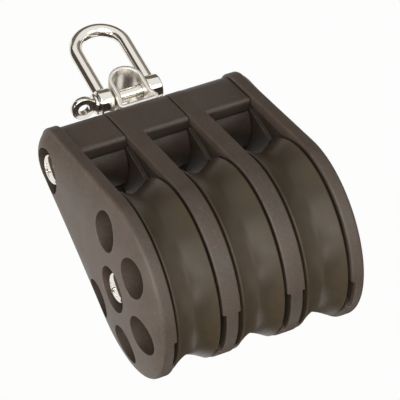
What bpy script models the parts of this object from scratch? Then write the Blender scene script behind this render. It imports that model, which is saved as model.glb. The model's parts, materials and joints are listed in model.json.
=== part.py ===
"""Triple block: three plain sheaves in a moulded body, hung from a shackle on a swivelling strap.

The origin is the crown of the shackle's bow, where the block hangs. The load line runs down -Z
and the axle lies along X. Lengths are in metres.
"""

import math

import bmesh
import bpy
from mathutils import Matrix

# Fits
GAP = 0.0003
SEAM = 0.0003

# Sheaves
SHEAVE_R = 0.0330
GROOVE_DEPTH = 0.0034
THROAT_R = SHEAVE_R - GROOVE_DEPTH
SHEAVE_W = 0.0173
FLANGE_RIM = 0.0012
GROOVE_POWER = 1.5
WEB_DEPTH = 0.0012
WEB_BAND = 0.0035
WEB_OUT = SHEAVE_R - WEB_BAND
HUB_R = 0.0105
BUSH_R = 0.0075

# Axle and head bolt, two alike
TUBE_R = 0.0050
SCREW_R = 0.0030
SCREW_HEAD_R = 0.0061
SCREW_HEAD_H = 0.0038
SCREW_LENGTH = 0.0160
RECESS_SPAN = 0.0066
RECESS_SLOT = 0.0013
RECESS_DEPTH = 0.0020

# Body
ROPE_ROOM = 0.0156
LEDGE_RISE = SHEAVE_R + ROPE_ROOM
BOLT_OVER_LEDGE = 0.0088
BOLT_RISE = LEDGE_RISE + BOLT_OVER_LEDGE
HEAD_OVER_BOLT = 0.0021
HEAD_RISE = BOLT_RISE + HEAD_OVER_BOLT
HEAD_R = 0.0122
RIM_OVER = 0.0004
CHEEK_PROUD = 0.0009
DIVIDER_W = 0.0068
DIVIDER_PLATE = 0.0042
LIP_BAND = 0.0034
DIVIDER_LIP_STOP = math.radians(72)
CHEEK_LIP_STOP = math.radians(78)
RIM_ROUND = 0.0006
FLUSH = 0.0001
PAD_HALF = 0.0110
PAD_OVER = 0.0014
LEDGE_WALL = 0.0055
SHELF_UP = 0.0008
BOSS_R = 0.0125
LEDGE_ROUND = 0.0016

# Outer cheeks
RIM_W = 0.0049
CHEEK_ROUND = 0.0012
DOME = 0.0040
DOME_POWER = 3.6
HOLE_INSET = 0.0111
HOLE_RING = SHEAVE_R - HOLE_INSET
HOLE_R = 0.00745
HOLE_STEPS = 6
COUNTERBORE_R = 0.0087
COUNTERBORE_DEPTH = 0.0043

# Swivel and strap
STEM_R = 0.0030
TANG_R = 0.0082
TANG_T = 0.0040
COLLAR_R = 0.0044
COLLAR_H = 0.0030
SEAT_RISE = 0.0126
STRAP_T = 0.0015
STRAP_W = 0.0120
STRAP_HALF = 0.0066
FOOT_HALF = 0.0092
FLARE_H = 0.0054
FLARE_POWER = 1.3
STRAP_BEND = 0.0018
STRAP_H = 0.0190
PIN_OVER_SEAT = 0.0102

# Shackle
WIRE_R = 0.0025
BOW_INSIDE = 0.0145
BOW_LENGTH = 0.0290
EYE_R = 0.0047
EYE_W = 0.0056
PIN_R = 0.0025
PIN_COLLAR_R = 0.0040
PIN_COLLAR_W = 0.0013
LUG_R = 0.0046
LUG_NECK_R = 0.0028
LUG_LENGTH = 0.0088
LUG_T = 0.0024
LUG_HOLE_R = 0.0023
LUG_TURN = math.radians(10)

# Heights, each from the one above it
PIN_Z = -(BOW_LENGTH + PIN_R)
SEAT_Z = PIN_Z - PIN_OVER_SEAT
BOLT_Z = SEAT_Z - SEAT_RISE
AXLE_Z = BOLT_Z - BOLT_RISE
HEAD_Z = AXLE_Z + HEAD_RISE

# Stations along the axle
PITCH = SHEAVE_W + DIVIDER_W + 2 * GAP
CHEEK_IN = PITCH + SHEAVE_W / 2 + GAP
LIP = (DIVIDER_W - DIVIDER_PLATE) / 2
CHEEK_RIM = CHEEK_IN + RIM_W
CHEEK_TOP = CHEEK_RIM + DOME
BORE_FLOOR = CHEEK_TOP - COUNTERBORE_DEPTH
HUB_HALF = (PITCH - DIVIDER_PLATE) / 2 - GAP
RIM_R = SHEAVE_R + RIM_OVER
SPACER_LOW_R = RIM_R - FLUSH
SPACER_HEAD_R = HEAD_R - FLUSH
BOW_X = BOW_INSIDE / 2 + WIRE_R

SHEAVE_STEPS = 32
BORE_STEPS = 20
HOLE_SIDES = 24
FAR = 0.2
TINY = 1e-6
WELD = 0.00002

# Which way a flat outline's own axes lie: along and across the outline, then its thickness
SIDE = Matrix(((0, 0, 1, 0), (1, 0, 0, 0), (0, 1, 0, 0), (0, 0, 0, 1)))
FLOOR = Matrix.Identity(4)

COLOURS = {
    "cheek_black": ((0.020, 0.017, 0.015), 0.50, 0.0),
    "sheave_black": ((0.017, 0.014, 0.012), 0.42, 0.0),
    "stainless": ((0.62, 0.60, 0.58), 0.18, 1.0),
    "bush_white": ((0.60, 0.58, 0.54), 0.45, 0.0),
}


def clear_scene():
    for obj in list(bpy.data.objects):
        bpy.data.objects.remove(obj, do_unlink=True)


def new_collection(name):
    collection = bpy.data.collections.new(name)
    bpy.context.scene.collection.children.link(collection)
    return collection


def material(name):
    """A plain material of the piece's own colour, made once."""
    found = bpy.data.materials.get(name)
    if found:
        return found
    colour, roughness, metallic = COLOURS[name]
    made = bpy.data.materials.new(name)
    made.use_nodes = True
    shader = made.node_tree.nodes["Principled BSDF"]
    shader.inputs["Base Color"].default_value = (*colour, 1.0)
    shader.inputs["Roughness"].default_value = roughness
    shader.inputs["Metallic"].default_value = metallic
    return made


def link(obj, collection):
    for old in list(obj.users_collection):
        old.objects.unlink(obj)
    collection.objects.link(obj)
    if collection.name == "cutters":
        obj.hide_render = True
        obj.display_type = "WIRE"
    return obj


def mesh_object(name, bm, collection):
    bmesh.ops.recalc_face_normals(bm, faces=bm.faces)
    mesh = bpy.data.meshes.new(name)
    bm.to_mesh(mesh)
    bm.free()
    return link(bpy.data.objects.new(name, mesh), collection)


def made_mesh(curve_obj, collection):
    """The curve's own solid as a mesh with its caps welded, in the curve's place."""
    bpy.context.view_layer.update()
    graph = bpy.context.evaluated_depsgraph_get()
    mesh = bpy.data.meshes.new_from_object(curve_obj.evaluated_get(graph))
    bm = bmesh.new()
    bm.from_mesh(mesh)
    bmesh.ops.remove_doubles(bm, verts=bm.verts, dist=TINY)
    bm.transform(curve_obj.matrix_world)
    name = curve_obj.name
    bpy.data.objects.remove(curve_obj, do_unlink=True)
    bpy.data.meshes.remove(mesh)
    return mesh_object(name, bm, collection)


def flat(name, points, low, high, collection, plane=SIDE):
    """A closed outline extruded between two stations across its plane."""
    curve = bpy.data.curves.new(name, "CURVE")
    curve.dimensions = "2D"
    curve.fill_mode = "BOTH"
    curve.extrude = (high - low) / 2
    spline = curve.splines.new("POLY")
    spline.points.add(len(points) - 1)
    for spot, (across, up) in zip(spline.points, points):
        spot.co = (across, up, 0, 1)
    spline.use_cyclic_u = True
    obj = link(bpy.data.objects.new(name, curve), collection)
    obj.matrix_world = plane @ Matrix.Translation((0, 0, (low + high) / 2))
    return made_mesh(obj, collection)


def rod(name, radius, low, high, centre, collection, axis="X", steps=BORE_STEPS, turn=0.0):
    """A round bar or bore along X or Z between two stations, turned about its own axis."""
    bm = bmesh.new()
    bmesh.ops.create_cone(
        bm, cap_ends=True, segments=steps, radius1=radius, radius2=radius, depth=high - low
    )
    bm.transform(Matrix.Translation((0, 0, (low + high) / 2)) @ Matrix.Rotation(turn, 4, "Z"))
    if axis == "X":
        bm.transform(Matrix.Rotation(math.pi / 2, 4, "Y"))
    bm.transform(Matrix.Translation(centre))
    return mesh_object(name, bm, collection)


def block(name, low, high, collection):
    """A box between two opposite corners."""
    bm = bmesh.new()
    bmesh.ops.create_cube(bm, size=1.0)
    bm.transform(Matrix.Diagonal([b - a for a, b in zip(low, high)] + [1.0]))
    bm.transform(Matrix.Translation([(a + b) / 2 for a, b in zip(low, high)]))
    return mesh_object(name, bm, collection)


def turned(name, profile, closed, collection, steps=BORE_STEPS):
    """A profile of (radius, height) swept round Z."""
    mesh = bpy.data.meshes.new(name)
    count = len(profile)
    edges = [(i, (i + 1) % count) for i in range(count if closed else count - 1)]
    mesh.from_pydata([(radius, 0.0, height) for radius, height in profile], edges, [])
    obj = link(bpy.data.objects.new(name, mesh), collection)
    screw = obj.modifiers.new("Turn", "SCREW")
    screw.axis = "Z"
    screw.steps = steps
    screw.render_steps = steps
    screw.use_merge_vertices = True
    screw.merge_threshold = TINY
    screw.use_smooth_shade = False
    return obj


def settle(obj):
    """Replaces the modifiers by the mesh they give."""
    bpy.context.view_layer.update()
    graph = bpy.context.evaluated_depsgraph_get()
    mesh = bpy.data.meshes.new_from_object(obj.evaluated_get(graph))
    obj.modifiers.clear()
    obj.data = mesh
    return obj


def face_out(obj):
    """Turns the faces of a closed mesh outwards."""
    bm = bmesh.new()
    bm.from_mesh(obj.data)
    bmesh.ops.recalc_face_normals(bm, faces=bm.faces)
    bm.to_mesh(obj.data)
    bm.free()


def boolean(obj, other, operation="DIFFERENCE"):
    step = obj.modifiers.new(operation.title(), "BOOLEAN")
    step.operation = operation
    step.solver = "EXACT"
    step.object = other


def bevel(obj, width, segments=2, angle=50):
    step = obj.modifiers.new("Round", "BEVEL")
    step.width = width
    step.segments = segments
    step.limit_method = "ANGLE"
    step.angle_limit = math.radians(angle)
    step.use_clamp_overlap = True


def weld(obj):
    """Merges points that cuts left side by side, so that no sliver stays."""
    bm = bmesh.new()
    bm.from_mesh(obj.data)
    bmesh.ops.remove_doubles(bm, verts=bm.verts, dist=WELD)
    bmesh.ops.dissolve_degenerate(bm, edges=bm.edges, dist=WELD)
    bm.to_mesh(obj.data)
    bm.free()


def finish(obj, look, origin=(0.0, 0.0, 0.0), parent=None, sharp=35):
    """Gives a piece its material, smooth shading, its origin and its parent."""
    weld(settle(obj))
    obj.data.transform(Matrix.Translation([-v for v in origin]))
    obj.location = origin
    obj.data.materials.clear()
    obj.data.materials.append(material(look))
    obj.data.shade_smooth()
    obj.data.set_sharp_from_angle(angle=math.radians(sharp))
    if parent:
        bpy.context.view_layer.update()
        obj.parent = parent
        obj.matrix_parent_inverse = parent.matrix_world.inverted()
    return obj


def empty(name, location, collection, parent=None):
    obj = bpy.data.objects.new(name, None)
    obj.location = location
    obj.empty_display_size = 0.01
    collection.objects.link(obj)
    if parent:
        bpy.context.view_layer.update()
        obj.parent = parent
        obj.matrix_parent_inverse = parent.matrix_world.inverted()
    return obj


def arc(centre, radius, start, end, count):
    """Points on an arc, from one angle to another in degrees, both ends included."""
    spots = []
    for i in range(count):
        angle = math.radians(start + (end - start) * i / (count - 1))
        spots.append((centre[0] + radius * math.cos(angle), centre[1] + radius * math.sin(angle)))
    return spots


def tapered(low_z, low_r, high_z, high_r, low_count=25, high_count=9):
    """The outline round a large circle and a smaller one above it."""
    lean = math.degrees(math.asin((low_r - high_r) / (high_z - low_z)))
    return arc((0, high_z), high_r, lean, 180 - lean, high_count) + arc(
        (0, low_z), low_r, 180 - lean, 360 + lean, low_count
    )


def flank(z, low_z, low_r, high_z, high_r):
    """Half the outline's width at a height on its straight flank."""
    lean = math.asin((low_r - high_r) / (high_z - low_z))
    return low_r / math.cos(lean) - (z - low_z) * math.tan(lean)


def fillet(before, corner, after, radius, count=4):
    """Points that round one corner of an outline."""
    ax, ay = before[0] - corner[0], before[1] - corner[1]
    bx, by = after[0] - corner[0], after[1] - corner[1]
    al, bl = math.hypot(ax, ay), math.hypot(bx, by)
    ax, ay, bx, by = ax / al, ay / al, bx / bl, by / bl
    half = math.acos(max(-1.0, min(1.0, ax * bx + ay * by))) / 2
    reach = radius / math.tan(half)
    mx, my = ax + bx, ay + by
    ml = math.hypot(mx, my)
    cx = corner[0] + mx / ml * radius / math.sin(half)
    cy = corner[1] + my / ml * radius / math.sin(half)
    start = math.atan2(corner[1] + ay * reach - cy, corner[0] + ax * reach - cx)
    end = math.atan2(corner[1] + by * reach - cy, corner[0] + bx * reach - cx)
    turn = (end - start + math.pi) % (2 * math.pi) - math.pi
    return [
        (cx + radius * math.cos(start + turn * i / (count - 1)),
         cy + radius * math.sin(start + turn * i / (count - 1)))
        for i in range(count)
    ]


def channel_outline():
    """What is cut away below the head so that the sheave and its rope have room."""
    ledge_z = AXLE_Z + LEDGE_RISE
    shelf_z = ledge_z + SHELF_UP
    half = flank(ledge_z, AXLE_Z, SPACER_LOW_R, HEAD_Z, SPACER_HEAD_R)
    above = flank(ledge_z + LEDGE_WALL, AXLE_Z, SPACER_LOW_R, HEAD_Z, SPACER_HEAD_R)
    inner = half - LEDGE_WALL
    boss_half = math.sqrt(BOSS_R**2 - (BOLT_Z - shelf_z) ** 2)
    lean = math.degrees(math.atan2(shelf_z - BOLT_Z, boss_half))
    right = fillet(
        (above, ledge_z + LEDGE_WALL), (half, ledge_z), (inner, ledge_z), LEDGE_ROUND
    )
    left = [(-y, z) for y, z in reversed(right)]
    boss = arc((0, BOLT_Z), BOSS_R, lean, -180 - lean, 9)
    top = [(FAR, right[0][1])] + right + [(inner, ledge_z), (inner - SHELF_UP, shelf_z)]
    top += boss + [(SHELF_UP - inner, shelf_z), (-inner, ledge_z)] + left + [(-FAR, left[-1][1])]
    return top + [(-FAR, AXLE_Z - FAR), (FAR, AXLE_Z - FAR)]


def pocket_outline(stop, over_ledge=0.0):
    """The hollow beside a sheave, inside the lip and below the pad that closes its top. Beside
    its own spacer it starts over the ledge, so that the spacer closes it."""
    low_r, high_r = RIM_R - LIP_BAND, HEAD_R - LIP_BAND
    top_z = AXLE_Z + LEDGE_RISE + over_ledge
    lean = math.degrees(math.asin((low_r - high_r) / HEAD_RISE))
    side = arc((0, AXLE_Z), low_r, -math.degrees(stop), lean, 11)
    side += [(flank(top_z, AXLE_Z, low_r, HEAD_Z, high_r), top_z), (PAD_HALF, top_z)]
    pad_r = SHEAVE_R + PAD_OVER
    pad = math.degrees(math.acos(PAD_HALF / pad_r))
    over = arc((0, AXLE_Z), pad_r, pad, 180 - pad, 5)
    other = [(-y, z) for y, z in reversed(side)]
    out, down = FAR * math.cos(stop), AXLE_Z - FAR * math.sin(stop)
    return side + over + other + [(-out, down), (out, down)]


def bolt_bores(obj, low, high, cutters):
    for place, height in (("axle", AXLE_Z), ("head", BOLT_Z)):
        bore = rod(f"{obj.name}_{place}_bore", TUBE_R + GAP, low, high, (0, 0, height), cutters)
        boolean(obj, bore)


def land(name, cutters):
    """What is cut off the head's top so that the strap can turn on a flat."""
    return block(name + "_land", (-FAR, -FAR, SEAT_Z), (FAR, FAR, SEAT_Z + FAR), cutters)


def spacer(name, start, end, cutters):
    """The block of the head that keeps two plates apart, with its underside shaped."""
    outline = tapered(AXLE_Z, SPACER_LOW_R, HEAD_Z, SPACER_HEAD_R)
    obj = flat(name, outline, start, end, cutters)
    bevel(obj, RIM_ROUND)
    boolean(obj, flat(name + "_channel", channel_outline(), start - LIP, end + LIP, cutters))
    return settle(obj)


def divider(name, x, parts, cutters, parent, middle=False):
    """A plate between two sheaves, moulded with the head spacer on its right."""
    low, high = x - DIVIDER_W / 2, x + DIVIDER_W / 2
    end = CHEEK_IN - SEAM if x > 0 else x + PITCH - DIVIDER_W / 2 - SEAM
    obj = flat(name, tapered(AXLE_Z, RIM_R, HEAD_Z, HEAD_R), low, high, parts)
    bevel(obj, RIM_ROUND)
    hollow = pocket_outline(DIVIDER_LIP_STOP)
    boolean(obj, flat(name + "_left_pocket", hollow, low - LIP, low + LIP, cutters))
    hollow = pocket_outline(DIVIDER_LIP_STOP, LIP)
    boolean(obj, flat(name + "_right_pocket", hollow, high - LIP, high + LIP, cutters))
    boolean(obj, spacer(name + "_spacer", x, end, cutters), "UNION")
    boolean(obj, land(name, cutters))
    bolt_bores(obj, low - LIP, end + LIP, cutters)
    if middle:
        cut_swivel_seat(obj, cutters)
    return finish(obj, "cheek_black", (x, 0, AXLE_Z), parent)


def cut_swivel_seat(obj, cutters):
    """The pocket that the spacer is moulded round the stem's eye with, and its shank's hole."""
    reach = TANG_T / 2 + GAP
    boolean(obj, rod("eye_pocket", TANG_R + GAP, -reach, reach, (0, 0, BOLT_Z), cutters))
    boolean(obj, rod("stem_bore", STEM_R + GAP, BOLT_Z, SEAT_Z + LIP, (0, 0, 0), cutters, "Z"))


def cheek_sections():
    """Both radii of each section of an outer cheek and its distance along the axle."""
    low_r, high_r = RIM_R + CHEEK_PROUD, HEAD_R + CHEEK_PROUD
    sections = [(RIM_ROUND, CHEEK_IN), (0.0, CHEEK_IN + RIM_ROUND)]
    sections += [(0.0, CHEEK_RIM - CHEEK_ROUND), (0.3 * CHEEK_ROUND, CHEEK_RIM - 0.3 * CHEEK_ROUND)]
    sections = [(low_r - inset, high_r - inset, x) for inset, x in sections]
    for scale in (1.0, 0.94, 0.85, 0.72, 0.52, 0.22):
        x = CHEEK_RIM + DOME * (1 - scale**DOME_POWER)
        sections.append(((low_r - CHEEK_ROUND) * scale, (high_r - CHEEK_ROUND) * scale, x))
    return sections


def cheek_shell(name, side, parts):
    """The outer cheek as a loft of tapered outlines that shrink towards its crown."""
    bm = bmesh.new()
    rings = []
    for low_r, high_r, x in cheek_sections():
        outline = tapered(AXLE_Z, low_r, HEAD_Z, high_r)
        rings.append([bm.verts.new((side * x, y, z)) for y, z in outline])
    for one, two in zip(rings, rings[1:]):
        for i in range(len(one)):
            j = (i + 1) % len(one)
            bm.faces.new((one[i], one[j], two[j], two[i]))
    bm.faces.new(rings[0])
    bm.faces.new(rings[-1])
    bmesh.ops.triangulate(bm, faces=bm.faces)
    return mesh_object(name, bm, parts)


def cheek(name, side, parts, cutters, parent):
    """An outer cheek with its dome, lightening holes, counterbores and lip."""
    obj = cheek_shell(name, side, parts)
    low, high = sorted((side * (CHEEK_IN - LIP), side * (CHEEK_IN + LIP)))
    hollow = pocket_outline(CHEEK_LIP_STOP, LIP if side < 0 else 0.0)
    boolean(obj, flat(name + "_pocket", hollow, low, high, cutters))
    if side < 0:
        end = -PITCH / 2 - DIVIDER_W / 2 - SEAM
        beside = spacer(name + "_spacer", -CHEEK_IN - 2 * LIP, end, cutters)
        boolean(beside, land(name, cutters))
        boolean(obj, beside, "UNION")
    for i in range(1, HOLE_STEPS):
        angle = math.radians(90 + 360 * i / HOLE_STEPS)
        centre = (0, HOLE_RING * math.cos(angle), AXLE_Z + HOLE_RING * math.sin(angle))
        low, high = sorted((side * (CHEEK_IN - LIP), side * (CHEEK_TOP + LIP)))
        turn = math.pi / HOLE_SIDES
        hole = rod(f"{name}_hole_{i}", HOLE_R, low, high, centre, cutters, "X", HOLE_SIDES, turn)
        boolean(obj, hole)
    for place, height in (("axle", AXLE_Z), ("head", BOLT_Z)):
        low, high = sorted((side * BORE_FLOOR, side * (CHEEK_TOP + LIP)))
        centre = (0, 0, height)
        turn = math.pi / BORE_STEPS
        sink = rod(f"{name}_{place}_sink", COUNTERBORE_R, low, high, centre, cutters, turn=turn)
        boolean(obj, sink)
    low, high = sorted((0.0, side * (CHEEK_TOP + LIP)))
    bolt_bores(obj, low, high, cutters)
    return finish(obj, "cheek_black", (side * CHEEK_IN, 0, AXLE_Z), parent)


def sheave_profile():
    """Half section of a sheave: the groove and rims down the outside, then the web and hub."""
    half = SHEAVE_W / 2
    mouth = half - FLANGE_RIM
    groove = []
    for i in range(7):
        z = mouth * (1 - i / 3)
        depth = (SHEAVE_R - THROAT_R) * abs(z / mouth) ** GROOVE_POWER
        groove.append((THROAT_R + depth, z))
    soft = FLANGE_RIM / 3
    upper = [(BUSH_R + GAP, HUB_HALF), (HUB_R, HUB_HALF), (HUB_R, half - WEB_DEPTH)]
    upper += [(WEB_OUT, half - WEB_DEPTH), (WEB_OUT + WEB_DEPTH, half)]
    upper += [(SHEAVE_R - soft, half), (SHEAVE_R, half - soft)]
    lower = [(r, -z) for r, z in reversed(upper)]
    return upper + groove + lower


def sheave(name, x, parts, parent):
    obj = turned(name, sheave_profile(), True, parts, SHEAVE_STEPS)
    settle(obj)
    obj.data.transform(Matrix.Translation((x, 0, AXLE_Z)) @ Matrix.Rotation(math.pi / 2, 4, "Y"))
    return finish(obj, "sheave_black", (x, 0, AXLE_Z), parent)


def bush(name, x, parts, parent):
    outer, inner, half = BUSH_R, TUBE_R + GAP, HUB_HALF
    profile = [(outer, half), (outer, -half), (inner, -half), (inner, half)]
    obj = settle(turned(name, profile, True, parts))
    obj.data.transform(Matrix.Translation((x, 0, AXLE_Z)) @ Matrix.Rotation(math.pi / 2, 4, "Y"))
    return finish(obj, "bush_white", (x, 0, AXLE_Z), parent)


def bolt_tube(name, height, parts, parent):
    outer, inner, half = TUBE_R, SCREW_R + GAP, BORE_FLOOR
    profile = [(outer, half), (outer, -half), (inner, -half), (inner, half)]
    obj = settle(turned(name, profile, True, parts))
    obj.data.transform(Matrix.Translation((0, 0, height)) @ Matrix.Rotation(math.pi / 2, 4, "Y"))
    return finish(obj, "stainless", (0, 0, height), parent)


def screw(name, side, height, parts, cutters, parent):
    """A pan-head screw with a cross recess, its shank inside the tube."""
    top, radius = SCREW_HEAD_H, SCREW_HEAD_R
    profile = [(0.0, top), (radius * 0.5, top * 0.96), (radius * 0.8, top * 0.82)]
    profile += [(radius, top * 0.45), (radius, 0.0)]
    profile += [(SCREW_R, 0.0), (SCREW_R, -SCREW_LENGTH), (0.0, -SCREW_LENGTH)]
    obj = settle(turned(name, profile, False, parts))
    for i, (a, b) in enumerate(((RECESS_SPAN, RECESS_SLOT), (RECESS_SLOT, RECESS_SPAN))):
        low, high = (-a / 2, -b / 2, top - RECESS_DEPTH), (a / 2, b / 2, top * 2)
        cutter = block(f"{name}_recess_{i}", low, high, cutters)
        boolean(obj, cutter)
    settle(obj)
    turn = Matrix.Rotation(side * math.pi / 2, 4, "Y") @ Matrix.Rotation(math.radians(25), 4, "Z")
    seat = Matrix.Translation((side * (BORE_FLOOR + GAP), 0, height))
    obj.data.transform(seat @ turn)
    return finish(obj, "stainless", (side * BORE_FLOOR, 0, height), parent)


def swivel_stem(parts, cutters, parent):
    """The stem that the strap turns on, hooked over the head bolt by its flattened eye."""
    top = SEAT_Z + GAP + STRAP_T + GAP + COLLAR_H + GAP
    obj = rod("swivel_stem", TANG_R, -TANG_T / 2, TANG_T / 2, (0, 0, BOLT_Z), parts)
    low = BOLT_Z + (TUBE_R + TANG_R) / 2
    boolean(obj, rod("stem_shank", STEM_R, low, top, (0, 0, 0), cutters, "Z"), "UNION")
    boolean(obj, rod("stem_eye", TUBE_R + GAP, -TANG_T, TANG_T, (0, 0, BOLT_Z), cutters))
    return finish(obj, "stainless", (0, 0, SEAT_Z), parent)


def swivel_collar(parts, parent):
    """The collar staked on the stem inside the strap."""
    low = SEAT_Z + GAP + STRAP_T + GAP
    high = low + COLLAR_H
    inner, edge = STEM_R + GAP, COLLAR_H / 4
    profile = [(inner, high), (COLLAR_R - edge, high), (COLLAR_R, high - edge)]
    profile += [(COLLAR_R, low), (inner, low)]
    obj = settle(turned("swivel_collar", profile, True, parts))
    return finish(obj, "stainless", (0, 0, SEAT_Z), parent)


def strap_line():
    """The strap's outer face in the XZ plane: flat base, flared feet, legs and arch."""
    base = SEAT_Z + GAP
    flare = []
    for i in range(1, 6):
        rest = 1 - i / 5
        width = STRAP_HALF + (FOOT_HALF - STRAP_HALF) * rest**FLARE_POWER
        flare.append((width, base + FLARE_H * i / 5))
    right = fillet((0, base), (FOOT_HALF, base), flare[2], STRAP_BEND, 4) + flare[2:]
    arch = arc((0, base + STRAP_H - STRAP_HALF), STRAP_HALF, 0, 180, 13)
    left = [(-x, z) for x, z in reversed(right)]
    return right + arch + left


def head_strap(parts, cutters, parent):
    """A strip bent into a closed strap: its open band is thickened inwards."""
    bm = bmesh.new()
    front = [bm.verts.new((x, -STRAP_W / 2, z)) for x, z in strap_line()]
    back = [bm.verts.new((x, STRAP_W / 2, z)) for x, z in strap_line()]
    for i in range(len(front)):
        j = (i + 1) % len(front)
        bm.faces.new((front[i], front[j], back[j], back[i]))
    obj = mesh_object("head_strap", bm, parts)
    wall = obj.modifiers.new("Strip", "SOLIDIFY")
    wall.thickness = STRAP_T
    wall.offset = -1.0
    wall.use_even_offset = True
    face_out(settle(obj))
    bore = rod("strap_pin_bore", PIN_R + GAP, -BOW_X, BOW_X, (0, 0, PIN_Z), cutters)
    boolean(obj, bore)
    high = SEAT_Z + 3 * STRAP_T
    boolean(obj, rod("strap_stem_bore", STEM_R + GAP, SEAT_Z, high, (0, 0, 0), cutters, "Z"))
    return finish(obj, "stainless", (0, 0, PIN_Z), parent)


def shackle_bow(parts, cutters, parent):
    """A round wire bent to a bow, with an eye forged on each leg."""
    spring = -BOW_INSIDE / 2
    start = PIN_Z + EYE_R / 2
    points = [(-BOW_X, start), (-BOW_X, (start + spring) / 2)]
    points += arc((0, spring), BOW_X, 180, 0, 15)
    points += [(BOW_X, (start + spring) / 2), (BOW_X, start)]
    curve = bpy.data.curves.new("shackle_bow", "CURVE")
    curve.dimensions = "3D"
    curve.bevel_depth = WIRE_R
    curve.bevel_resolution = 3
    curve.use_fill_caps = True
    spline = curve.splines.new("POLY")
    spline.points.add(len(points) - 1)
    for spot, (x, z) in zip(spline.points, points):
        spot.co = (x, 0, z, 1)
    obj = made_mesh(link(bpy.data.objects.new("shackle_bow", curve), parts), parts)
    for tag, side in (("left", -1), ("right", 1)):
        low, high = side * BOW_X - EYE_W / 2, side * BOW_X + EYE_W / 2
        eye = rod(f"bow_{tag}_eye", EYE_R, low, high, (0, 0, PIN_Z), cutters)
        bevel(eye, EYE_W / 10, 1)
        boolean(obj, eye, "UNION")
    boolean(obj, rod("bow_bore", PIN_R + GAP, -2 * BOW_X, 2 * BOW_X, (0, 0, PIN_Z), cutters))
    return finish(obj, "stainless", (0, 0, PIN_Z), parent)


def shackle_pin(parts, cutters, parent):
    """The pin through both eyes, with a collar and a flat thumb lug outside the left one."""
    left = -BOW_X - EYE_W / 2 - GAP
    right = BOW_X + EYE_W / 2 + GAP
    soft = PIN_R / 5
    profile = [(0.0, right), (PIN_R - soft, right), (PIN_R, right - soft), (PIN_R, left)]
    profile += [(PIN_COLLAR_R, left), (PIN_COLLAR_R, left - PIN_COLLAR_W), (0.0, left - PIN_COLLAR_W)]
    obj = settle(turned("shackle_pin", profile, False, parts))
    obj.data.transform(Matrix.Rotation(math.pi / 2, 4, "Y"))
    end = left - PIN_COLLAR_W - LUG_LENGTH
    neck = left - PIN_COLLAR_W / 4 - LUG_NECK_R
    outline = [(x, y) for y, x in tapered(end + LUG_R, LUG_R, neck, LUG_NECK_R, 15, 5)]
    lug = flat("pin_lug", outline, -LUG_T / 2, LUG_T / 2, cutters, FLOOR)
    boolean(obj, lug, "UNION")
    eye = rod("pin_lug_eye", LUG_HOLE_R, -LUG_T, LUG_T, (end + LUG_R, 0, 0), cutters, "Z", 16)
    boolean(obj, eye)
    settle(obj)
    obj.data.transform(Matrix.Translation((0, 0, PIN_Z)) @ Matrix.Rotation(-LUG_TURN, 4, "X"))
    return finish(obj, "stainless", (0, 0, PIN_Z), parent)


def build():
    clear_scene()
    parts = new_collection("triple_block")
    cutters = new_collection("cutters")
    pin_axis = empty("pin_axis", (0, 0, PIN_Z), parts)
    swivel_axis = empty("swivel_axis", (0, 0, SEAT_Z), parts, pin_axis)
    shackle_bow(parts, cutters, None)
    shackle_pin(parts, cutters, None)
    head_strap(parts, cutters, pin_axis)
    swivel_stem(parts, cutters, swivel_axis)
    swivel_collar(parts, swivel_axis)
    cheek("cheek_left", -1, parts, cutters, swivel_axis)
    divider("divider_left", -PITCH / 2, parts, cutters, swivel_axis, middle=True)
    divider("divider_right", PITCH / 2, parts, cutters, swivel_axis)
    cheek("cheek_right", 1, parts, cutters, swivel_axis)
    for name, height in (("axle", AXLE_Z), ("head", BOLT_Z)):
        bolt_tube(f"{name}_tube", height, parts, swivel_axis)
        screw(f"{name}_screw_left", -1, height, parts, cutters, swivel_axis)
        screw(f"{name}_screw_right", 1, height, parts, cutters, swivel_axis)
    for name, x in (("left", -PITCH), ("middle", 0.0), ("right", PITCH)):
        wheel = sheave(f"sheave_{name}", x, parts, swivel_axis)
        bush(f"sheave_bush_{name}", x, parts, wheel)


if __name__ == "__main__":
    build()
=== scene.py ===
"""The looks of a triple block: fine moulded, turned and forged pieces over its solid model.

Lengths are in metres. The block hangs from the crown of the shackle's bow at the origin, the line
of pull runs down -Z, and the axle lies along X.
"""

import json
import math

import bmesh
import bpy
from mathutils import Matrix, Vector

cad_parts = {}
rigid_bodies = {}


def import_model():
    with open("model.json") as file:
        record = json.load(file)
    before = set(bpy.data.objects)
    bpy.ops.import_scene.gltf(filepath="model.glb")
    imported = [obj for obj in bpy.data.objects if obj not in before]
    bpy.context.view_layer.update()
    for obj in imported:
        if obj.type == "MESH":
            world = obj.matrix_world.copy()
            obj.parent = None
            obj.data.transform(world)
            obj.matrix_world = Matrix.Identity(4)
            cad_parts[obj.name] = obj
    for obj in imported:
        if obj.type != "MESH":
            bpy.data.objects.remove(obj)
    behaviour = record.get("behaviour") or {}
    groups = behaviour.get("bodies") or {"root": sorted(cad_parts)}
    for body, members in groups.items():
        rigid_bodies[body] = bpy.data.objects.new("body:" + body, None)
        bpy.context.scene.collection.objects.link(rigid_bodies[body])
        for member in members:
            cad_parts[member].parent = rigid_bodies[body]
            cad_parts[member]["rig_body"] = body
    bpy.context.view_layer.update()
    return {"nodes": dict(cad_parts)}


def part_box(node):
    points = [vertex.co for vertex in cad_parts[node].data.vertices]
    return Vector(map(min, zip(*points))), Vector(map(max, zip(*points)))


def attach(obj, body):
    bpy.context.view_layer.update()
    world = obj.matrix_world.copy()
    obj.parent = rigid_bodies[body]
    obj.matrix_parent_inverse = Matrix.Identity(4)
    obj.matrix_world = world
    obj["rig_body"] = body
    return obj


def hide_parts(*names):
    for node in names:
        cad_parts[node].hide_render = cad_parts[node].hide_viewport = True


bl_info = {
    "name": "Triple Block",
    "version": (1, 0, 0),
    "blender": (4, 5, 0),
    "location": "View3D > Sidebar > Triple Block",
    "description": "Models and finishes a three-sheave block with a swivelling shackle",
    "category": "Add Mesh",
}

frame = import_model()


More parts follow.
